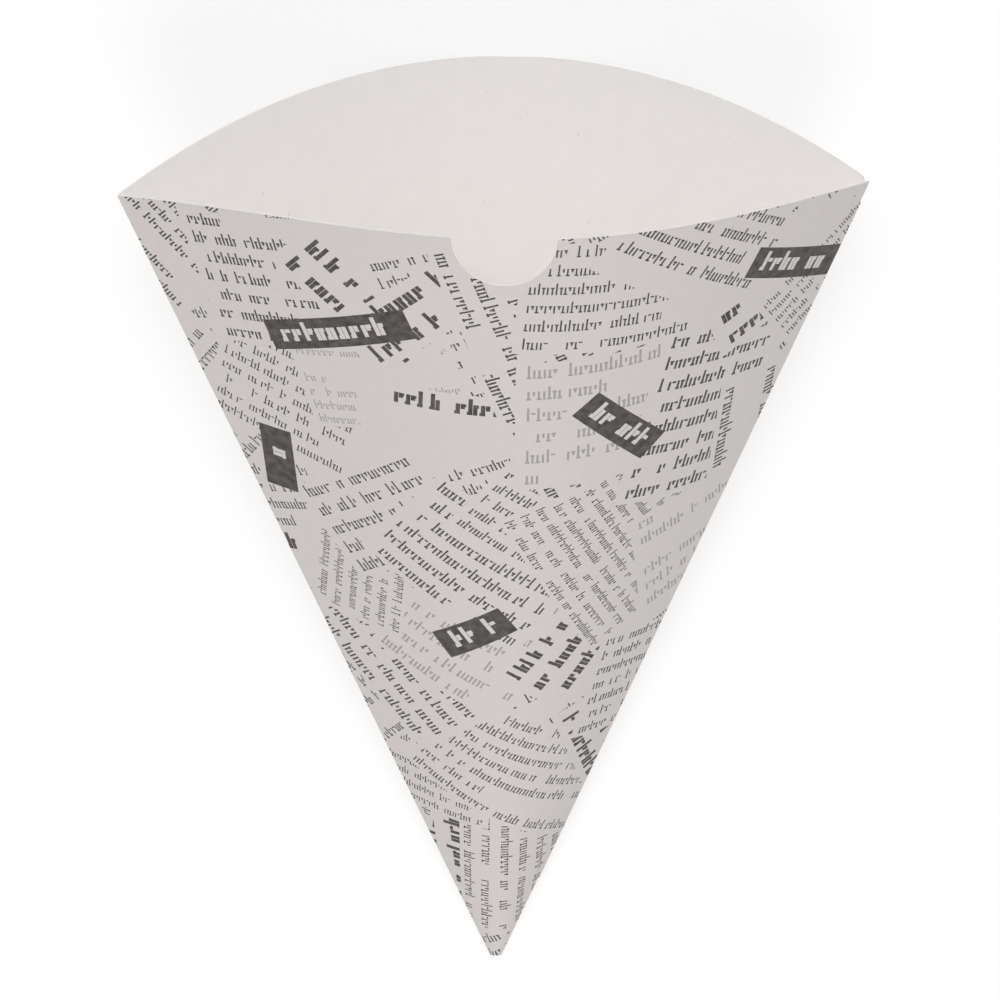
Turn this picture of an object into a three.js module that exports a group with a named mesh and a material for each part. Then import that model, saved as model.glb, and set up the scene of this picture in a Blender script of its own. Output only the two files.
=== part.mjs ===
// Paper cone: one sheet of card, folded left and right and closed by a lap glued over its back.
// It lies on that back, mouth towards +Y, +Z up. Millimetres; named angles are in degrees.
import * as THREE from "three";

const card = {
  thick: 0.4, // paperboard of about 300 g/m2
  foldRadius: 0.4, // outer radius of both folds
  foldSteps: 4,
};
const panel = {
  angle: 47.2, // flat angle of the front and of the back panel at the apex
  crease: 200, // apex to mouth along either fold, also the radius of the back panel's edge
  tip: 4, // the sheet stops this far short of the apex
  corner: 1.6, // rounded corner of the back panel at the right fold
};
const rim = { crown: 13.7 }; // the front's edge is an arc, this high over the chord between its corners
const notch = { radius: 10, centre: 195.8, ease: 1 }; // thumb notch: centre measured from the apex
const lap = { angle: 4.4, from: 25, to: 195 }; // runs on from the front's right fold, over the back

// How the sheet stands open. Rise is the angle a panel's middle lifts off the plane of the folds,
// lean moves the crest to the right and crown makes it rounder. The back's rise follows from its
// flat angle, as both panels share the two folds.
const front = { side: 1, rise: 8.67, lean: 0.159, crown: 0.113, bends: 23 };
const back = { side: -1, lean: 0.065, crown: 0.113, bends: 20 };
// The flat strip of the back that the cone lies on, in degrees of flat angle.
const rest = { at: 1.6, width: 3.2 };

// Distances from the apex at which the mesh has a row of points; above `detail` it has every rail.
const detail = 150;
const rowsInside = [panel.tip, 6, 9, 14, 24, 60, detail];
const rowsOutside = [panel.tip, 12, lap.from, lap.from, detail, lap.to, lap.to];
const lapRows = [3, 4, 5]; // rows of the outside that run over the lap
const steadyPart = 0.35; // share of a panel, from its middle, whose rails stay straight to the tip
const rad = Math.PI / 180;
const halfFlat = (panel.angle / 2) * rad;

const along = (v, k) => v.clone().multiplyScalar(k);
const sum = (...vs) => vs.reduce((a, v) => a.add(v), new THREE.Vector3());
const cross = (a, b) => new THREE.Vector3().crossVectors(a, b);

// Unit vector from the apex to the section at u, which runs from -1 on the left fold to 1 on the right.
function ray(u, half, p, rise) {
  const body = 1 - u * u;
  const lift = p.side * rise * (body * (1 + p.lean * u) + p.crown * body * body);
  const turn = u * half;
  return new THREE.Vector3(Math.cos(lift) * Math.sin(turn), Math.cos(lift) * Math.cos(turn), Math.sin(lift));
}

// Flat angle of each of the given section points, from the left fold.
function unroll(us, half, p, rise) {
  const rays = us.map((u) => ray(u, half, p, rise));
  const flat = [0];
  for (let i = 1; i < rays.length; i++) flat.push(flat[i - 1] + rays[i - 1].angleTo(rays[i]));
  return { rays, flat };
}

function solve(f, low, high) {
  const rising = f(high) > f(low);
  for (let i = 0; i < 60; i++) {
    const mid = (low + high) / 2;
    if (f(mid) > 0 === rising) high = mid;
    else low = mid;
  }
  return (low + high) / 2;
}

const evenly = (n) => Array.from({ length: n + 1 }, (_, i) => (2 * i) / n - 1);
const excess = (us, half, p, rise) => unroll(us, half, p, rise).flat.at(-1) - 2 * halfFlat;

// Bend lines of the back, with none inside the strip it rests on.
function backBends() {
  const edges = [rest.at - rest.width / 2, rest.at + rest.width / 2].map((a) => (a * rad) / halfFlat);
  const step = 2 / back.bends;
  const spread = (a, b) => {
    const n = Math.max(1, Math.round((b - a) / step));
    return Array.from({ length: n + 1 }, (_, i) => a + ((b - a) * i) / n);
  };
  return [...spread(-1, edges[0]), ...spread(edges[1], 1)];
}

// A panel as a faceted cone: `at` gives the direction and outward normal at a flat angle from its middle.
function makePanel(p, us, half, rise) {
  const { rays, flat } = unroll(us, half, p, rise);
  const bends = flat.map((f) => f - flat.at(-1) / 2);
  const facets = rays.slice(1).map((b, i) => cross(b, rays[i]).multiplyScalar(p.side).normalize());
  const normals = rays.map((_, i) =>
    sum(facets[Math.max(i - 1, 0)], facets[Math.min(i, facets.length - 1)]).normalize());
  const at = (f) => {
    let i = bends.findIndex((b) => b > f) - 1;
    if (i < 0) i = f < 0 ? 0 : bends.length - 2;
    const gap = bends[i + 1] - bends[i];
    const share = (f - bends[i]) / gap;
    return {
      d: sum(along(rays[i], Math.sin(gap - (f - bends[i]))), along(rays[i + 1], Math.sin(f - bends[i])))
        .multiplyScalar(1 / Math.sin(gap)),
      n: normals[i].clone().lerp(normals[i + 1], share).normalize(),
    };
  };
  return { ...p, bends, rays, facets, at };
}

const frontUs = evenly(front.bends);
const backUs = backBends();
const halfWidth = solve((a) => excess(frontUs, a, front, front.rise * rad), 10 * rad, 30 * rad);
const backRise = solve((r) => excess(backUs, halfWidth, back, r), rad, 30 * rad);
const face = makePanel(front, frontUs, halfWidth, front.rise * rad);
const rear = makePanel(back, backUs, halfWidth, backRise);

// Both sheets next to a fold: their normals, the directions into them and the angle between them.
function foldAt(end) {
  const last = (list) => (end > 0 ? list.at(-1) : list[0]);
  const d = last(face.rays);
  const into = (n, p) => cross(d, n).multiplyScalar(end * p.side * -1).normalize();
  const nf = last(face.facets);
  const nb = last(rear.facets);
  const tf = into(nf, face);
  const tb = into(nb, rear);
  const open = tf.angleTo(tb);
  return { d, nf, nb, tf, tb, open, set: card.foldRadius * Math.tan((Math.PI - open) / 2) };
}
const left = foldAt(-1);
const right = foldAt(1);

// Offsets from the fold line to the rounded fold, front to back, about the corner of its outer faces.
function foldArc(fold, corner) {
  const centre = sum(corner, along(fold.tf, fold.set), along(fold.nf, -card.foldRadius));
  return Array.from({ length: card.foldSteps + 1 }, (_, i) => {
    const n = fold.nf.clone().lerp(fold.nb, i / card.foldSteps).normalize();
    return sum(centre, along(n, card.foldRadius));
  });
}
const sharp = new THREE.Vector3();
const lapCorner = along(right.tf, -card.thick / Math.sin(right.open));
const arcs = { left: foldArc(left, sharp), right: foldArc(right, sharp), lap: foldArc(right, lapCorner) };
const innerCorner = (fold) =>
  along(sum(fold.nf, fold.nb), -card.thick / (1 + fold.nf.dot(fold.nb)));

// Upper edges, as the distance from the apex at a flat angle.
const rimHalf = panel.crease * Math.sin(halfFlat);
const rimRadius = (rimHalf ** 2 + rim.crown ** 2) / (2 * rim.crown);
const rimCentre = panel.crease * Math.cos(halfFlat) + rim.crown - rimRadius;
const onCircle = (f, centre, radius, sign) =>
  centre * Math.cos(f) + sign * Math.sqrt(Math.max(0, radius ** 2 - (centre * Math.sin(f)) ** 2));
const notchEdge = Math.asin(notch.radius / notch.centre);
const frontTop = (f) =>
  Math.abs(f) < notchEdge ? onCircle(f, notch.centre, notch.radius, -1) : onCircle(f, rimCentre, rimRadius, 1);

function frontOutline() {
  const shoulder = notchEdge + notch.ease / notch.centre;
  const coarse = face.bends
    .filter((f) => Math.abs(f) < notchEdge || Math.abs(f) > shoulder + 0.1 * rad)
    .map((f) => ({ f, top: frontTop(f), fine: false }));
  const fine = [];
  for (const side of [-1, 1]) {
    for (let a = 6; a < 84; a += 12) {
      const x = notch.radius * Math.sin(a * rad);
      const y = notch.centre - notch.radius * Math.cos(a * rad);
      fine.push({ f: side * Math.atan2(x, y), top: Math.hypot(x, y), fine: true });
    }
    const high = frontTop(shoulder);
    fine.push({ f: side * notchEdge, top: notch.centre * Math.cos(notchEdge), fine: true });
    for (const a of [20, 45, 70, 90]) {
      const f = notchEdge + (notch.ease * (1 - Math.cos(a * rad))) / high;
      fine.push({ f: side * f, top: high - notch.ease * (1 - Math.sin(a * rad)), fine: true });
    }
  }
  return [...coarse, ...fine].sort((a, b) => b.f - a.f);
}

function backOutline() {
  const edge = halfFlat - lap.angle * rad;
  const points = rear.bends.map((f) => ({ f, top: panel.crease, fine: false }));
  for (const a of [0, 22.5, 45, 67.5]) {
    const inset = right.set + panel.corner * (1 - Math.sin(a * rad));
    const top = panel.crease - panel.corner * (1 - Math.cos(a * rad));
    points.push({ f: halfFlat - inset / panel.crease, top, fine: true });
  }
  points.push({ f: edge, top: panel.crease, fine: false }, { f: edge, top: panel.crease, fine: false });
  points.sort((a, b) => a.f - b.f);
  const first = points.findIndex((p) => p.f === edge) + 1;
  return points.map((p, i) => ({ ...p, underLap: i >= first }));
}

// A flat angle moved inwards by `ends` millimetres at the folds, so that offset faces meet there.
function squeeze(f, r, ends) {
  const share = Math.max(0, (Math.abs(f) / halfFlat - steadyPart) / (1 - steadyPart));
  return f - (Math.sign(f) * share * (f < 0 ? ends.left : ends.right)) / r;
}
const cot = (a) => 1 / Math.tan(a);
const plainEnds = { left: left.set, right: right.set };
const lapEnds = {
  front: { left: left.set, right: right.set - card.thick / Math.sin(right.open) },
  back: { left: left.set, right: right.set - card.thick * cot(right.open) },
};
const innerEnds = { left: card.thick * cot(left.open / 2), right: card.thick * cot(right.open / 2) };

// The section is a closed ring of rails. Each gives its outer and its inner point at a distance r.
function makeRails() {
  const onPanel = (p, raisedEnds) => ({ f, top, fine, underLap }) => ({
    top,
    fine,
    outer: (r, raised) => {
      const { d, n } = p.at(squeeze(f, r, raised ? raisedEnds : plainEnds));
      return sum(along(d, r), along(n, raised && underLap ? card.thick : 0));
    },
    inner: (r) => {
      const { d, n } = p.at(squeeze(f, r, innerEnds));
      return sum(along(d, r), along(n, -card.thick));
    },
  });
  const onFold = (fold, plain, raised, top) => plain.map((offset, i) => ({
    top,
    fine: false,
    outer: (r, up) => sum(along(fold.d, r), up ? raised[i] : offset),
    inner: (r) => sum(along(fold.d, r), innerCorner(fold)),
  }));
  const fromRight = frontOutline().map(onPanel(face, lapEnds.front));
  const fromLeft = backOutline().map(onPanel(rear, lapEnds.back));
  const atLeft = onFold(left, arcs.left, arcs.left, panel.crease);
  const atRight = onFold(right, arcs.right, arcs.lap, panel.crease - panel.corner).reverse();
  atRight.at(-1).top = panel.crease;
  return [...fromRight.slice(1, -1), ...atLeft, ...fromLeft.slice(1, -1), ...atRight];
}

class Skin {
  constructor() {
    this.points = [];
    this.triangles = [];
    this.seen = new Map();
  }
  add(p) {
    const key = [p.x, p.y, p.z].map((v) => Math.round(v * 1e5)).join();
    if (!this.seen.has(key)) {
      this.seen.set(key, this.points.length / 3);
      this.points.push(p.x, p.y, p.z);
    }
    return this.seen.get(key);
  }
  triangle(a, b, c) {
    if (a !== b && b !== c && c !== a) this.triangles.push(a, b, c);
  }
  // Faces between two rings of points. Either may skip a rail, where its point is null.
  band(low, high, flip) {
    const n = high.length;
    const kept = low.map((p, i) => (p === null ? -1 : i)).filter((i) => i >= 0);
    const tri = (a, b, c) => (flip ? this.triangle(a, c, b) : this.triangle(a, b, c));
    kept.forEach((i, k) => {
      const j = kept[(k + 1) % kept.length];
      const chain = [];
      for (let m = i; m !== j; m = (m + 1) % n) if (high[m] !== null) chain.push(high[m]);
      chain.push(high[j]);
      for (let m = 1; m < chain.length; m++) tri(low[i], chain[m], chain[m - 1]);
      tri(low[i], low[j], chain.at(-1));
    });
  }
}

function sheet() {
  const rails = makeRails();
  const skin = new Skin();
  const ring = (which, r, all, raised) => rails.map((rail) =>
    (rail.fine && !all ? null : skin.add(rail[which](Math.min(r, rail.top), raised))));
  const surface = (which, rows, flip) => {
    const rings = rows.map((r, i) => ring(which, r, r >= detail, which === "outer" && lapRows.includes(i)));
    rings.push(ring(which, Infinity, true, false));
    for (let i = 1; i < rings.length; i++) skin.band(rings[i - 1], rings[i], flip);
    return rings;
  };
  const outside = surface("outer", rowsOutside, true);
  const inside = surface("inner", rowsInside, false);
  skin.band(outside.at(-1), inside.at(-1), true);
  skin.band(inside[0], outside[0], true);
  return skin;
}

// Turns the cone onto the flat strip of its back, with the folds' middle line along +Y.
function layDown(points) {
  const strip = rear.facets[rear.bends.findIndex((f) => f > rest.at * rad) - 1];
  const up = along(strip, -1);
  const y = new THREE.Vector3(0, 1, 0).projectOnPlane(up).normalize();
  const turn = new THREE.Matrix4().makeBasis(cross(y, up), y, up).transpose();
  const placed = points.map((p) => p.applyMatrix4(turn));
  const box = new THREE.Box3().setFromPoints(placed);
  const base = new THREE.Vector3((box.min.x + box.max.x) / 2, (box.min.y + box.max.y) / 2, box.min.z);
  return placed.map((p) => p.sub(base));
}

function toMesh(skin, name) {
  const points = [];
  for (let i = 0; i < skin.points.length; i += 3) {
    points.push(new THREE.Vector3(...skin.points.slice(i, i + 3)));
  }
  const geometry = new THREE.BufferGeometry().setFromPoints(layDown(points));
  geometry.setIndex(skin.triangles);
  const mesh = new THREE.Mesh(geometry);
  mesh.name = name;
  return mesh;
}

const group = new THREE.Group();
group.add(toMesh(sheet(), "paper_cone"));
export default group;
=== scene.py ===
# Paper cone: one folded sheet of board, newsprint-like print outside, bare white board inside.
# It lies on its back as packed: mouth towards +Y, +Z up. Millimetres unless a comment says otherwise.
import math
import random

import bpy
from mathutils import Matrix, Vector


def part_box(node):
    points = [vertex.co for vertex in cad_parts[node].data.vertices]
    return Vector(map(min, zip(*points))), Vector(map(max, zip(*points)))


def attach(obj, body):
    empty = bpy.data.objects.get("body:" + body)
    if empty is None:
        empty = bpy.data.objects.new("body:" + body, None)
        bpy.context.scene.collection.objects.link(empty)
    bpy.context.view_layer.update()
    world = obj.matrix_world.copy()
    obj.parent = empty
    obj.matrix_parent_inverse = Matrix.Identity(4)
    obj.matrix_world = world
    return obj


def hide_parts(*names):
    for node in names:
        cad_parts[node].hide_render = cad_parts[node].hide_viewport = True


MM = 1000.0  # millimetres in a metre
THICK = 0.4
FOLD_RADIUS = 0.4  # outer radius of both folds
FOLD_STEPS = 6
HALF_FLAT = math.radians(23.6)  # half the flat angle of a panel at the apex
CREASE = 200.0  # apex to mouth along a fold, and the radius of the back's edge
TIP = 4.0  # the sheet stops this far short of the apex
RIM_CROWN = 13.7  # height of the front's rim over the chord between its corners
NOTCH = {"radius": 10.0, "centre": 195.8, "ease": 1.0}  # centre measured from the apex
CORNER = 1.6  # rounded corner of the back at the right fold
LAP = {"angle": math.radians(4.4), "start": 25.0, "stop": 195.0}  # over the back, at the right fold
# Each panel's section: side is 1 towards +Z, rise is how high it stands as an angle, lean moves its top
# towards the right fold, and crown makes the middle fuller.
FRONT = {"side": 1, "lean": 0.159, "crown": 0.113, "rise": math.radians(8.67)}
BACK = {"side": -1, "lean": 0.065, "crown": 0.113}  # its rise is solved from the flat angle
REST = {"at": math.radians(1.6), "width": math.radians(3.2)}  # the flat strip it lies on
BENDS = 150  # facets across a panel, before the notch and the flat strip change some
ROWS = [TIP, 5, 6.5, 9, 12, 16, 21, 32, 42, 54, 68, 84, 100, 116, 132, 146, 158, 168, 176, 182,
        187, 191, 193.5, 197, 198.5]  # distances from the apex at which the mesh has a row of points
STEADY = 0.35  # share of a panel, from its middle, whose rails stay straight to the tip
NOTCH_CLEAR = 0.0008  # radians from the notch's shoulder to the first evenly spaced rail, at least
LAP_CLEAR = 0.0001  # radians from the lap's edge to the next rail, at least
WELD_DIGITS = 5  # points that agree to this many decimals are one
SHARP = math.radians(35)  # edges that bend more than this are shaded as sharp

PAPER = (0.62, 0.583, 0.560)
INK = (0.052, 0.045, 0.039)
INSIDE = (0.84, 0.81, 0.79)
RAW_EDGE = (0.74, 0.72, 0.69)
FLECK = (0.35, 0.31, 0.27)
# Flecks of the inside: cells per UV unit, size in a cell, share of cells with one, and how much they tint.
FLECKS = {"scale": 34.0, "size": 0.065, "share": 0.28, "strength": 0.3}
INK_FADE = (0.3, 0.8)  # cover of the ink: the soft cloud times the first, plus the second
UV_UNIT = 100.0  # millimetres of flat board per unit of the UV map

LINE = 4.3  # body print, line to line
CELL = 0.37  # width of a stroke cell over the line pitch
BLOCK = 48.0  # cells after which a line of the ground print starts again
LINE_END = (180.0, -9.0)  # cells until a line ends: a random share of the first, plus the second
STRIP_LINE_END = 200.0  # more cells on a dark strip, so that none of its lines ends early
# A stroke cell: heights are shares of the line pitch, widths and spans are shares of the cell.
STROKE = {
    "foot": 0.26,
    "half": 0.46,
    "head": 0.66,
    "rise": 0.22,  # of a tall stroke above the head
    "drop": 0.18,  # of a deep stroke below the foot
    "left": 0.14,  # left edge of the first stroke
    "right": 0.88,  # right edge of the second stroke
    "width": 0.19,
    "bold width": 0.16,  # added to the width
    "tick": 0.07,
    "bold tick": 0.05,  # added to the tick
    "foot span": (0.04, 0.5),
    "head span": (0.54, 0.98),
}
# Shares of the cells that have each feature. A gap is a cell left bare between words.
SHARE = {"tall": 0.3, "deep": 0.14, "second": 0.8, "short second": 0.4, "foot tick": 0.6,
         "head tick": 0.7, "gap": 0.16}
GROUND = {"phi": 0.0, "r": 0.0, "turn": 24.0, "size": (320, 320), "pitch": LINE, "look": (1.0, 0.1, 0.0)}
CLIPPING_RINGS = [(30, 3), (58, 6), (88, 9), (120, 12), (152, 14), (184, 17)]  # radius, count
CLIPPING_SEED = 11
FIRST_SEED = 3.0  # of the strokes, for the ground print. Each clipping adds one.
# Dark strips with pale strokes: flat angle in degrees, distance from the apex, turn and half length.
STRIPS = [(-11, 171, 12, 15), (9, 149, -38, 11), (-3, 96, 31, 9), (20, 183, -8, 14), (-20, 137, 74, 8),
          (-52, 160, -20, 14), (-60, 105, 40, 10)]
STRIP_HALF_HEIGHT = 3.6

# The camera, measured in the cone frame: apex at the origin, +Y between the folds, +Z the front's side.
VIEW = {
    "aim": 92.0,
    "yaw": math.radians(2.124),
    "pitch": math.radians(32.482),
    "roll": math.radians(0.079),
    "offset": (-1.0124, -20.2396),
    "distance": 1123.6,
    "picture": 200.0,  # width of the picture at the aim's distance
}
SENSOR = 36.0
# Each soft sun: the direction that its light comes from, and its strength.
SUNS = {
    "into_the_mouth": ((-0.03, 0.58, 0.81), 2.08),
    "over_the_front": ((0.03, -0.62, 0.78), 1.08),
}
SUN_WIDTH = math.radians(28)
# Drop is how far the floor lies below the cone, and shadow how much of its shading the camera sees.
FLOOR = {"reach": 3000.0, "drop": 0.2, "colour": (0.9, 0.9, 0.9), "shadow": 0.3}
ROOM = {"colour": (0.97, 0.98, 1.0), "strength": 0.3}


def ray(u, half, panel, rise):
    """The section: a unit vector from the apex at u, from -1 on the left fold to 1 on the right."""
    body = 1 - u * u
    lift = panel["side"] * rise * (body * (1 + panel["lean"] * u) + panel["crown"] * body * body)
    turn = u * half
    return Vector((math.cos(lift) * math.sin(turn), math.cos(lift) * math.cos(turn), math.sin(lift)))


def unroll(us, half, panel, rise):
    """The section's rays and the flat angle of each, from the left fold."""
    rays = [ray(u, half, panel, rise) for u in us]
    flat = [0.0]
    for a, b in zip(rays, rays[1:]):
        flat.append(flat[-1] + 2 * math.asin((b - a).length / 2))
    return rays, flat


def solve(f, low, high):
    """Where f passes zero between low and high."""
    rising = f(high) > f(low)
    for _ in range(50):
        mid = (low + high) / 2
        if (f(mid) > 0) == rising:
            high = mid
        else:
            low = mid
    return (low + high) / 2


def spread(a, b, step):
    """Evenly spaced values from a to b, about step apart."""
    n = max(1, round((b - a) / step))
    return [a + (b - a) * i / n for i in range(n + 1)]


def flat_excess(us, half, panel, rise):
    return unroll(us, half, panel, rise)[1][-1] - 2 * HALF_FLAT


class Panel:
    """One panel as a finely faceted cone: at() gives the direction and outward normal at a flat angle."""

    def __init__(self, shape, us, half, rise):
        self.side = shape["side"]
        self.rays, flat = unroll(us, half, shape, rise)
        self.bends = [f - flat[-1] / 2 for f in flat]
        self.facets = [(b.cross(a) * self.side).normalized() for a, b in zip(self.rays, self.rays[1:])]
        ends = [self.facets[0]] + self.facets + [self.facets[-1]]
        self.normals = [(a + b).normalized() for a, b in zip(ends, ends[1:])]

    def at(self, f):
        i = 0
        while i < len(self.bends) - 2 and f > self.bends[i + 1]:
            i += 1
        gap = self.bends[i + 1] - self.bends[i]
        part = f - self.bends[i]
        d = (self.rays[i] * math.sin(gap - part) + self.rays[i + 1] * math.sin(part)) / math.sin(gap)
        return d, self.normals[i].lerp(self.normals[i + 1], part / gap).normalized()


class Fold:
    """Where the two panels meet: outward normals, directions into the panels and the angle between them."""

    def __init__(self, face, rear, end):
        k = -1 if end > 0 else 0
        self.line = face.rays[k]
        self.front_out = face.facets[k]
        self.back_out = rear.facets[k]
        self.into_front = (self.line.cross(self.front_out) * -end * face.side).normalized()
        into_back = (self.line.cross(self.back_out) * -end * rear.side).normalized()
        self.opening = self.into_front.angle(into_back)
        self.setback = FOLD_RADIUS * math.tan((math.pi - self.opening) / 2)
        both = self.front_out + self.back_out
        self.inner = both * (-THICK / (1 + self.front_out.dot(self.back_out)))

    def arc(self, corner):
        """The rounded fold, front to back, when its outer faces meet at corner."""
        centre = corner + self.into_front * self.setback - self.front_out * FOLD_RADIUS
        shares = [i / FOLD_STEPS for i in range(FOLD_STEPS + 1)]
        normals = [self.front_out.lerp(self.back_out, share).normalized() for share in shares]
        return [centre + n * FOLD_RADIUS for n in normals]


RIM_HALF = CREASE * math.sin(HALF_FLAT)
RIM_RADIUS = (RIM_HALF ** 2 + RIM_CROWN ** 2) / (2 * RIM_CROWN)
RIM_CENTRE = CREASE * math.cos(HALF_FLAT) + RIM_CROWN - RIM_RADIUS
NOTCH_EDGE = math.asin(NOTCH["radius"] / NOTCH["centre"])


def on_rim(f):
    """Distance from the apex to the front's round rim at flat angle f."""
    return RIM_CENTRE * math.cos(f) + math.sqrt(RIM_RADIUS ** 2 - (RIM_CENTRE * math.sin(f)) ** 2)


def front_outline(bends):
    """Flat angle and upper edge of each rail of the front, from the right fold to the left."""
    ease = NOTCH["ease"]
    shoulder = NOTCH_EDGE + ease / NOTCH["centre"]
    clear = shoulder + NOTCH_CLEAR
    points = [(f, on_rim(f)) for f in bends if abs(f) > clear]
    high = on_rim(shoulder)
    for side in (-1, 1):
        for degrees in range(3, 84, 4):
            a = math.radians(degrees)
            x = NOTCH["radius"] * math.sin(a)
            y = NOTCH["centre"] - NOTCH["radius"] * math.cos(a)
            points.append((side * math.atan2(x, y), math.hypot(x, y)))
        points.append((side * NOTCH_EDGE, NOTCH["centre"] * math.cos(NOTCH_EDGE)))
        for degrees in (15, 30, 45, 60, 75, 90):
            a = math.radians(degrees)
            f = NOTCH_EDGE + ease * (1 - math.cos(a)) / high
            points.append((side * f, high - ease * (1 - math.sin(a))))
    return sorted(points, reverse=True)


def back_outline(bends, right):
    """The same for the back, from the left fold to the right, and whether the lap covers the rail."""
    edge = HALF_FLAT - LAP["angle"]
    points = [(f, CREASE) for f in bends if abs(f - edge) > LAP_CLEAR]
    for degrees in range(0, 90, 10):
        a = math.radians(degrees)
        inset = right.setback + CORNER * (1 - math.sin(a))
        points.append((HALF_FLAT - inset / CREASE, CREASE - CORNER * (1 - math.cos(a))))
    points = sorted(points)
    before = [(f, top, False) for f, top in points if f < edge]
    after = [(f, top, True) for f, top in points if f > edge]
    return before + [(edge, CREASE, False), (edge, CREASE, True)] + after


def squeeze(f, r, at_left, at_right):
    """A flat angle moved inwards by some millimetres at the folds, so that offset faces meet there."""
    share = max(0.0, (abs(f) / HALF_FLAT - STEADY) / (1 - STEADY))
    return f - math.copysign(share * (at_left if f < 0 else at_right) / r, f)


class Rail:
    """One line of the sheet from tip to edge, as functions that give its points.

    phi is its angle on the flat blank: phi[raised][0] for faces towards the rail before and
    phi[raised][1] for faces towards the rail after, where raised says that the lap covers the row.
    """

    def __init__(self, top, outer, inner, phi):
        self.top = top
        self.outer = outer
        self.inner = inner
        self.phi = phi


def make_rails(face, rear, left, right):
    """The closed ring of rails: front, left fold, back, right fold."""
    thin = THICK / math.sin(right.opening)
    lean = THICK / math.tan(right.opening)
    plain = (left.setback, right.setback)
    inward = [THICK / math.tan(fold.opening / 2) for fold in (left, right)]

    def panel_rail(panel, f, top, covered, raised_ends, phi, phi_raised):
        def outer(r, raised):
            d, n = panel.at(squeeze(f, r, *(raised_ends if raised else plain)))
            return d * r + n * (THICK if raised and covered else 0)

        def inner(r):
            d, n = panel.at(squeeze(f, r, *inward))
            return d * r - n * THICK

        return Rail(top, outer, inner, ((phi, phi), (phi_raised, phi_raised)))

    def fold_rails(fold, arc, raised_arc, tops, phis):
        rails = []
        for offset, raised_offset, top, phi in zip(arc, raised_arc, tops, phis):
            def outer(r, raised, a=offset, b=raised_offset):
                return fold.line * r + (b if raised else a)

            def inner(r):
                return fold.line * r + fold.inner

            rails.append(Rail(top, outer, inner, phi))
        return rails

    front_raised = (left.setback, right.setback - thin)
    back_raised = (left.setback, right.setback - lean)
    front = [panel_rail(face, f, top, False, front_raised, f, f) for f, top in front_outline(face.bends)]
    back = []
    for f, top, covered in back_outline(rear.bends, right):
        own = -2 * HALF_FLAT - f
        on_lap = 2 * HALF_FLAT - f if covered else own
        back.append(panel_rail(rear, f, top, covered, back_raised, own, on_lap))
    count = FOLD_STEPS + 1
    apex = Vector((0, 0, 0))
    left_phi = ((-HALF_FLAT, -HALF_FLAT), (-HALF_FLAT, -HALF_FLAT))
    right_phi = ((HALF_FLAT, HALF_FLAT), (HALF_FLAT, HALF_FLAT))
    seam_phi = ((-3 * HALF_FLAT, HALF_FLAT), (HALF_FLAT, HALF_FLAT))
    left_tops = [CREASE] * count
    right_tops = [CREASE] + [CREASE - CORNER] * (count - 1)
    at_left = fold_rails(left, left.arc(apex), left.arc(apex), left_tops, [left_phi] * count)
    at_right = fold_rails(right, right.arc(apex), right.arc(right.into_front * -thin), right_tops,
                          [right_phi] * (count - 1) + [seam_phi])
    return front[1:-1] + at_left + back[1:-1] + at_right[::-1]


class Skin:
    """Welded faces, each with its corners' places on the blank and its material."""

    def __init__(self):
        self.points = []
        self.index = {}
        self.faces = []
        self.uvs = []
        self.slots = []

    def add(self, p):
        key = tuple(round(v, WELD_DIGITS) for v in p)
        if key not in self.index:
            self.index[key] = len(self.points)
            self.points.append(p)
        return self.index[key]

    def quad(self, corners, slot):
        kept = []
        for point, uv in corners:
            i = self.add(point)
            if i not in [k for k, _ in kept]:
                kept.append((i, uv))
        if len(kept) > 2:
            self.faces.append([i for i, _ in kept])
            self.uvs.extend(uv for _, uv in kept)
            self.slots.append(slot)


def on_blank(phi, r):
    """UV of a point at angle phi and distance r on the flat blank."""
    return (r * math.sin(phi) / UV_UNIT, r * math.cos(phi) / UV_UNIT)


PRINTED, BARE, CUT = 0, 1, 2  # material slots of the piece


def build_skin(rails):
    """Outside, inside and cut edges of the sheet. A row is a distance and whether the lap covers it."""
    skin = Skin()
    pairs = list(zip(rails, rails[1:] + rails[:1]))
    edge = (math.inf, False)

    def corner(rail, which, row, phi):
        r = min(row[0], rail.top)
        place = rail.outer(r, row[1]) if which == "outer" else rail.inner(r)
        return place, on_blank(phi, r)

    def strip(which, low, high, surface):
        raised = low[1] and high[1]
        for a, b in pairs:
            phi_a = a.phi[raised][1]
            phi_b = b.phi[raised][0]
            at_seam = abs(phi_a - phi_b) > 1  # the blank's two ends meet here
            is_cut = low[0] == high[0] or at_seam
            corners = [corner(a, which, low, phi_a), corner(b, which, low, phi_b),
                       corner(b, which, high, phi_b), corner(a, which, high, phi_a)]
            if which == "outer":
                corners.reverse()
            skin.quad(corners, CUT if is_cut else surface)

    start, stop = LAP["start"], LAP["stop"]
    outer_rows = [(r, start < r < stop) for r in ROWS]
    outer_rows += [(start, False), (start, True), (stop, True), (stop, False), edge]
    outer_rows.sort(key=lambda row: (row[0], row[1] if row[0] == start else not row[1]))
    inner_rows = [(r, False) for r in ROWS] + [edge]
    for which, rows, surface in (("outer", outer_rows, PRINTED), ("inner", inner_rows, BARE)):
        for low, high in zip(rows, rows[1:]):
            strip(which, low, high, surface)
    for row, at_tip in ((edge, False), ((TIP, False), True)):
        for a, b in pairs:
            phi = a.phi[0][1]
            corners = [corner(a, "outer", row, phi), corner(b, "outer", row, phi),
                       corner(b, "inner", row, phi), corner(a, "inner", row, phi)]
            skin.quad(corners if at_tip else corners[::-1], CUT)
    return skin


def lay_down(rear):
    """Rotation from the cone frame to the rest pose: the back's flat strip faces down."""
    k = next(i for i, f in enumerate(rear.bends) if f > REST["at"]) - 1
    up = -rear.facets[k]
    y = Vector((0, 1, 0))
    y = (y - up * y.dot(up)).normalized()
    return Matrix((y.cross(up), y, up))


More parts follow.
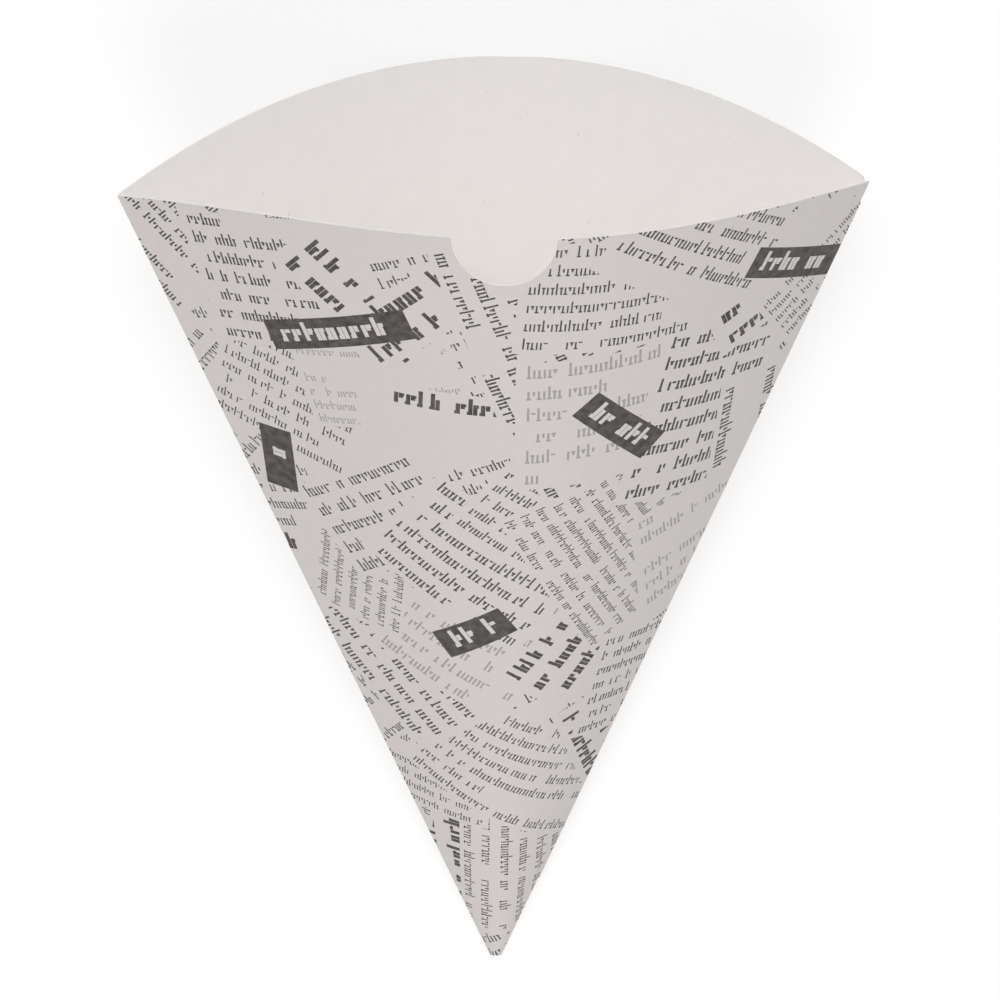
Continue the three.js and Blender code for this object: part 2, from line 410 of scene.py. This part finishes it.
def make_cone():
    """The piece, and the rotation and shift that carry the cone frame to the frame of the solids."""
    front_us = spread(-1, 1, 2 / BENDS)
    edges = [(REST["at"] + k * REST["width"] / 2) / HALF_FLAT for k in (-1, 1)]
    back_us = spread(-1, edges[0], 2 / BENDS) + spread(edges[1], 1, 2 / BENDS)
    half = solve(lambda a: flat_excess(front_us, a, FRONT, FRONT["rise"]), 0.2, 0.6)
    rise = solve(lambda a: flat_excess(back_us, half, BACK, a), 0.02, 0.6)
    face = Panel(FRONT, front_us, half, FRONT["rise"])
    rear = Panel(BACK, back_us, half, rise)
    skin = build_skin(make_rails(face, rear, Fold(face, rear, -1), Fold(face, rear, 1)))

    turn = lay_down(rear)
    points = [turn @ p for p in skin.points]
    low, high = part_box("paper_cone")
    span = [(min(p[k] for p in points), max(p[k] for p in points)) for k in range(3)]
    shift = Vector(((low[0] + high[0]) / 2 * MM - sum(span[0]) / 2,
                    (low[1] + high[1]) / 2 * MM - sum(span[1]) / 2,
                    low[2] * MM - span[2][0]))
    mesh = bpy.data.meshes.new("paper_cone_board")
    mesh.from_pydata([(p + shift) / MM for p in points], [], skin.faces)
    layer = mesh.uv_layers.new(name="blank")
    layer.data.foreach_set("uv", [c for uv in skin.uvs for c in uv])
    mesh.polygons.foreach_set("material_index", skin.slots)
    mesh.polygons.foreach_set("use_smooth", [True] * len(skin.faces))
    mesh.set_sharp_from_angle(angle=SHARP)
    mesh.update()
    obj = bpy.data.objects.new("board_cone", mesh)
    bpy.context.scene.collection.objects.link(obj)
    return obj, turn, shift


class Nodes:
    """Short calls for building a node tree."""

    def __init__(self, tree):
        self.tree = tree

    def new(self, kind, **values):
        node = self.tree.nodes.new(kind)
        for key, value in values.items():
            setattr(node, key, value)
        return node

    def link(self, source, target):
        if isinstance(source, bpy.types.NodeSocket):
            self.tree.links.new(source, target)
        else:
            target.default_value = source

    def math(self, operation, a, b=0.0, c=None):
        node = self.new("ShaderNodeMath", operation=operation)
        self.link(a, node.inputs[0])
        self.link(b, node.inputs[1])
        if c is not None:
            self.link(c, node.inputs[2])
        return node.outputs[0]

    def vector(self, operation, a, b):
        node = self.new("ShaderNodeVectorMath", operation=operation)
        self.link(a, node.inputs[0])
        self.link(b, node.inputs[1])
        return node.outputs[0]

    def dot(self, a, b):
        node = self.new("ShaderNodeVectorMath", operation="DOT_PRODUCT")
        self.link(a, node.inputs[0])
        self.link(b, node.inputs[1])
        return node.outputs["Value"]

    def mix(self, kind, factor, a, b):
        node = self.new("ShaderNodeMix", data_type=kind)
        first, result = {"VECTOR": (4, 1), "RGBA": (6, 2)}[kind]
        self.link(factor, node.inputs[0])
        self.link(a, node.inputs[first])
        self.link(b, node.inputs[first + 1])
        return node.outputs[result]

    def split(self, vector, kind="ShaderNodeSeparateXYZ"):
        node = self.new(kind)
        self.link(vector, node.inputs[0])
        return node.outputs

    def join(self, *values):
        node = self.new("ShaderNodeCombineXYZ")
        for value, target in zip(values, node.inputs):
            self.link(value, target)
        return node.outputs[0]

    def inside(self, value, low, high):
        above = self.math("GREATER_THAN", value, low)
        below = self.math("LESS_THAN", value, high)
        return self.math("MULTIPLY", above, below)


def rgba(colour):
    return (*colour, 1.0)


def clipping_group():
    """One rectangular clipping over the print so far: passes on the cell coordinates and the look."""
    tree = bpy.data.node_groups.new("clipping", "ShaderNodeTree")
    for name in ("Cells", "Look", "Sheet", "Centre", "Across", "Upwards", "Own look"):
        tree.interface.new_socket(name, in_out="INPUT", socket_type="NodeSocketVector")
    for name in ("Half width", "Half height", "Step", "Pitch", "Seed"):
        tree.interface.new_socket(name, in_out="INPUT", socket_type="NodeSocketFloat")
    for name in ("Cells", "Look"):
        tree.interface.new_socket(name, in_out="OUTPUT", socket_type="NodeSocketVector")
    n = Nodes(tree)
    given = n.new("NodeGroupInput").outputs
    place = n.vector("SUBTRACT", given["Sheet"], given["Centre"])
    x = n.dot(place, given["Across"])
    y = n.dot(place, given["Upwards"])
    away = n.math("ABSOLUTE", x)
    in_width = n.math("LESS_THAN", away, given["Half width"])
    in_height = n.math("LESS_THAN", n.math("ABSOLUTE", y), given["Half height"])
    covered = n.math("MULTIPLY", in_width, in_height)
    in_column = n.math("LESS_THAN", away, n.math("SUBTRACT", given["Half width"], given["Step"]))
    column = n.math("DIVIDE", n.math("ADD", x, given["Half width"]), given["Step"])
    column = n.math("MULTIPLY", column, in_column)
    row = n.math("DIVIDE", n.math("ADD", y, given["Half height"]), given["Pitch"])
    own_cells = n.join(column, row, given["Seed"])
    cells = n.mix("VECTOR", covered, given["Cells"], own_cells)
    look = n.mix("VECTOR", covered, given["Look"], given["Own look"])
    done = n.new("NodeGroupOutput")
    n.link(cells, done.inputs["Cells"])
    n.link(look, done.inputs["Look"])
    return tree


def strokes(n, cells, bold, reverse):
    """Rows of upright strokes with short ticks, grouped like words, that spell nothing."""
    x, y, seed = n.split(cells)
    column = n.math("FLOOR", x)
    row = n.math("FLOOR", y)
    fx = n.math("FRACT", x)
    fy = n.math("FRACT", y)
    noise = n.new("ShaderNodeTexWhiteNoise", noise_dimensions="3D")
    n.link(n.join(column, row, seed), noise.inputs["Vector"])
    first, second, third = n.split(noise.outputs["Color"], "ShaderNodeSeparateColor")

    def box(left, right, low, high):
        return n.math("MULTIPLY", n.inside(fx, left, right), n.inside(fy, low, high))

    def where(chosen, shape):
        return n.math("MULTIPLY", chosen, shape)

    foot, half, head = STROKE["foot"], STROKE["half"], STROKE["head"]
    left, right = STROKE["left"], STROKE["right"]
    is_tall = n.math("GREATER_THAN", first, 1 - SHARE["tall"])
    is_deep = n.math("LESS_THAN", first, SHARE["deep"])
    is_short = n.math("GREATER_THAN", second, 1 - SHARE["short second"])
    has_second = n.math("GREATER_THAN", second, 1 - SHARE["second"])
    has_foot_tick = n.math("GREATER_THAN", third, 1 - SHARE["foot tick"])
    has_head_tick = n.math("LESS_THAN", third, SHARE["head tick"])

    top = n.math("MULTIPLY_ADD", is_tall, STROKE["rise"], head)
    base = n.math("MULTIPLY_ADD", is_deep, -STROKE["drop"], foot)
    start = n.math("MULTIPLY_ADD", is_short, half - foot, foot)
    width = n.math("MULTIPLY_ADD", bold, STROKE["bold width"], STROKE["width"])
    tick = n.math("MULTIPLY_ADD", bold, STROKE["bold tick"], STROKE["tick"])
    mark = box(left, n.math("ADD", width, left), base, top)
    second_stroke = box(n.math("SUBTRACT", right, width), right, start, head)
    foot_tick = box(*STROKE["foot span"], foot, n.math("ADD", foot, tick))
    head_tick = box(*STROKE["head span"], n.math("SUBTRACT", head, tick), head)
    mark = n.math("MAXIMUM", mark, where(has_second, second_stroke))
    mark = n.math("MAXIMUM", mark, where(has_foot_tick, foot_tick))
    mark = n.math("MAXIMUM", mark, where(has_head_tick, head_tick))

    line_noise = n.new("ShaderNodeTexWhiteNoise", noise_dimensions="3D")
    n.link(n.join(row, seed), line_noise.inputs["Vector"])
    line_end = n.math("MULTIPLY_ADD", line_noise.outputs["Value"], *LINE_END)
    line_end = n.math("MULTIPLY_ADD", reverse, STRIP_LINE_END, line_end)
    in_line = n.math("LESS_THAN", n.math("MODULO", x, BLOCK), line_end)
    in_word = n.math("GREATER_THAN", noise.outputs["Value"], SHARE["gap"])
    return where(n.math("MULTIPLY", in_word, in_line), mark)


def clippings():
    """The clippings, lowest first. A look is how dark the ink is, how bold, and 1 for pale on dark."""
    pick = random.Random(CLIPPING_SEED)
    made = []
    low, high = -3 * HALF_FLAT, HALF_FLAT + LAP["angle"]
    for ring, count in CLIPPING_RINGS:
        for i in range(count):
            phi = low + (high - low) * (i + pick.uniform(0.2, 0.8)) / count
            r = ring + pick.uniform(-9, 9)
            kind = pick.random()
            pitch = LINE * pick.choice((0.78, 0.92, 1.05, 1.12, 1.25))
            size = (pick.uniform(14, 25), pick.uniform(11, 22))
            look = (1.0, pick.uniform(0.0, 0.45), 0.0)
            if kind < 0.2:  # a bold heading
                pitch = pick.uniform(5.6, 7.0)
                look = (1.0, 1.0, 0.0)
                size = (pick.uniform(14, 22), 8.0)
            elif kind < 0.32:  # a pale one
                look = (0.5, 0.2, 0.0)
            turn = pick.uniform(-75, 75)
            made.append({"phi": phi, "r": r, "turn": turn, "size": size, "pitch": pitch, "look": look})
    for degrees, r, turn, half_length in STRIPS:
        made.append({"phi": math.radians(degrees), "r": r, "turn": turn, "look": (1.0, 1.0, 1.0),
                     "size": (half_length, STRIP_HALF_HEIGHT), "pitch": 2 * STRIP_HALF_HEIGHT})
    return made


def board_material(name, roughness, specular):
    """A new material, the calls that build its nodes, its shader and the place on the blank."""
    material = bpy.data.materials.new(name)
    material.use_nodes = True
    surface = material.node_tree.nodes["Principled BSDF"]
    surface.inputs["Roughness"].default_value = roughness
    surface.inputs["Specular IOR Level"].default_value = specular
    n = Nodes(material.node_tree)
    return material, n, surface, n.new("ShaderNodeUVMap", uv_map="blank").outputs[0]


def mottle(n, uv, scale, detail, colour, dark, light):
    """A soft cloud over the board, and its colour between a darker and a lighter shade."""
    cloud = n.new("ShaderNodeTexNoise", noise_dimensions="3D")
    cloud.inputs["Scale"].default_value = scale
    cloud.inputs["Detail"].default_value = detail
    n.link(uv, cloud.inputs["Vector"])
    shades = [rgba([c * k for c in colour]) for k in (dark, light)]
    return cloud.outputs[0], n.mix("RGBA", cloud.outputs[0], *shades)


def printed_board(group):
    """The outside: a collage of clippings that lie in many directions over a ground print."""
    material, n, surface, uv = board_material("printed_board", roughness=0.62, specular=0.35)
    sheet = n.vector("MULTIPLY", uv, (UV_UNIT, UV_UNIT, 0.0))
    cells, look = (0.0, 0.0, 0.0), GROUND["look"]
    for number, c in enumerate([GROUND, *clippings()]):
        node = n.new("ShaderNodeGroup", node_tree=group)
        step = c["pitch"] * CELL
        tilt = math.radians(c["turn"]) - c["phi"]
        half_lines = max(0.5, round(c["size"][1] / c["pitch"] * 2) / 2)
        values = {
            "Cells": cells,
            "Look": look,
            "Sheet": sheet,
            "Own look": c["look"],
            "Seed": number + FIRST_SEED,
            "Centre": (c["r"] * math.sin(c["phi"]), c["r"] * math.cos(c["phi"]), 0.0),
            "Across": (math.cos(tilt), math.sin(tilt), 0.0),
            "Upwards": (-math.sin(tilt), math.cos(tilt), 0.0),
            "Half width": round(c["size"][0] / step) * step,
            "Half height": half_lines * c["pitch"],
            "Step": step,
            "Pitch": c["pitch"],
        }
        for name, value in values.items():
            n.link(value, node.inputs[name])
        cells, look = node.outputs["Cells"], node.outputs["Look"]
    ink, bold, reverse = n.split(look)
    mark = strokes(n, cells, bold, reverse)
    amount = n.math("MULTIPLY", n.math("ABSOLUTE", n.math("SUBTRACT", mark, reverse)), ink)
    cloud, paper = mottle(n, uv, scale=60.0, detail=4.0, colour=PAPER, dark=0.96, light=1.04)
    fade = n.math("MULTIPLY_ADD", cloud, *INK_FADE)
    amount = n.math("MINIMUM", n.math("MULTIPLY", amount, fade), 1.0)
    n.link(n.mix("RGBA", amount, paper, rgba(INK)), surface.inputs["Base Color"])
    return material


def bare_board(name, colour, flecked):
    """Uncoated board with soft mottling and, where flecked, a few tiny dark flecks."""
    material, n, surface, uv = board_material(name, roughness=0.85, specular=0.2)
    tone = mottle(n, uv, scale=22.0, detail=6.0, colour=colour, dark=0.965, light=1.03)[1]
    if flecked:
        spots = n.new("ShaderNodeTexVoronoi")
        spots.inputs["Scale"].default_value = FLECKS["scale"]
        n.link(uv, spots.inputs["Vector"])
        near = n.math("LESS_THAN", spots.outputs["Distance"], FLECKS["size"])
        chosen = n.split(spots.outputs["Color"], "ShaderNodeSeparateColor")[0]
        spot = n.math("MULTIPLY", near, n.math("GREATER_THAN", chosen, 1 - FLECKS["share"]))
        tone = n.mix("RGBA", n.math("MULTIPLY", spot, FLECKS["strength"]), tone, rgba(FLECK))
    n.link(tone, surface.inputs["Base Color"])
    return material


def look_from(turn, shift):
    """The camera of the reference view, carried from the flat cone frame to the rest pose."""
    yaw = Matrix.Rotation(VIEW["yaw"], 3, "Y")
    pitch = Matrix.Rotation(VIEW["pitch"], 3, "X")
    roll = Matrix.Rotation(VIEW["roll"], 3, "Z")
    to_view = roll @ pitch @ yaw
    aim = Vector((0, VIEW["aim"], 0))
    eye = aim + to_view.transposed() @ Vector((-VIEW["offset"][0], -VIEW["offset"][1], VIEW["distance"]))
    data = bpy.data.cameras.new("camera")
    data.sensor_width = SENSOR
    data.lens = SENSOR * VIEW["distance"] / VIEW["picture"]
    data.clip_end = 10  # metres
    camera = bpy.data.objects.new("camera", data)
    camera.matrix_world = (Matrix.Translation((turn @ eye + shift) / MM)
                           @ (turn @ to_view.transposed()).to_4x4())
    bpy.context.scene.collection.objects.link(camera)
    bpy.context.scene.camera = camera


def soft_sun(name, towards, strength):
    """A soft light that comes from the given direction."""
    data = bpy.data.lights.new(name, "SUN")
    data.energy = strength
    data.angle = SUN_WIDTH
    light = bpy.data.objects.new(name, data)
    light.rotation_euler = Vector(towards).to_track_quat("Z", "Y").to_euler()
    bpy.context.scene.collection.objects.link(light)


def background(n, colour, strength):
    """One plain colour for the world."""
    node = n.new("ShaderNodeBackground")
    node.inputs["Color"].default_value = rgba(colour)
    node.inputs["Strength"].default_value = strength
    return node.outputs[0]


def light_room():
    """Soft light all round and the soft suns, with a white world behind the floor."""
    world = bpy.data.worlds.new("studio")
    bpy.context.scene.world = world
    world.use_nodes = True
    tree = world.node_tree
    tree.nodes.clear()
    n = Nodes(tree)
    path = n.new("ShaderNodeLightPath")
    seen = n.math("MAXIMUM", path.outputs["Is Camera Ray"], path.outputs["Is Transmission Ray"])
    mix = n.new("ShaderNodeMixShader")
    n.link(seen, mix.inputs[0])
    n.link(background(n, ROOM["colour"], ROOM["strength"]), mix.inputs[1])
    n.link(background(n, (1, 1, 1), 1.0), mix.inputs[2])
    n.link(mix.outputs[0], n.new("ShaderNodeOutputWorld").inputs[0])
    for name, (towards, strength) in SUNS.items():
        soft_sun(name, towards, strength)


def lay_floor():
    """A plain pale floor just under the cone. The camera sees it as white with a faint shadow."""
    reach = FLOOR["reach"] / MM
    drop = FLOOR["drop"] / MM
    corners = [(x * reach, y * reach, -drop) for x, y in ((-1, -1), (1, -1), (1, 1), (-1, 1))]
    mesh = bpy.data.meshes.new("floor")
    mesh.from_pydata(corners, [], [(0, 1, 2, 3)])
    floor = bpy.data.objects.new("floor", mesh)
    bpy.context.scene.collection.objects.link(floor)
    material = bpy.data.materials.new("pale_floor")
    material.use_nodes = True
    material.node_tree.nodes.clear()
    n = Nodes(material.node_tree)
    path = n.new("ShaderNodeLightPath")
    plain = n.new("ShaderNodeBsdfDiffuse")
    plain.inputs["Color"].default_value = rgba(FLOOR["colour"])
    white = n.new("ShaderNodeEmission")
    mix = n.new("ShaderNodeMixShader")
    n.link(n.math("MULTIPLY", path.outputs["Is Camera Ray"], 1 - FLOOR["shadow"]), mix.inputs[0])
    n.link(plain.outputs[0], mix.inputs[1])
    n.link(white.outputs[0], mix.inputs[2])
    n.link(mix.outputs[0], n.new("ShaderNodeOutputMaterial").inputs[0])
    floor.data.materials.append(material)


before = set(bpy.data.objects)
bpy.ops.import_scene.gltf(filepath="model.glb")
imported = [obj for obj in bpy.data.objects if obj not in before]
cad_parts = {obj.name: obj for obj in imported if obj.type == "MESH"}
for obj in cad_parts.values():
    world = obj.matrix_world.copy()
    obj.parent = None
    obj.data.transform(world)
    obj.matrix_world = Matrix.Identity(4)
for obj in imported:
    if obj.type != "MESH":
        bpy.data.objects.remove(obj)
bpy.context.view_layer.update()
board, turn, shift = make_cone()
board.data.materials.append(printed_board(clipping_group()))
board.data.materials.append(bare_board("bare_board", INSIDE, flecked=True))
board.data.materials.append(bare_board("cut_edge", RAW_EDGE, flecked=False))
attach(board, "root")
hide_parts("paper_cone")
look_from(turn, shift)
light_room()
lay_floor()
scene = bpy.context.scene
scene.view_settings.view_transform = "Standard"
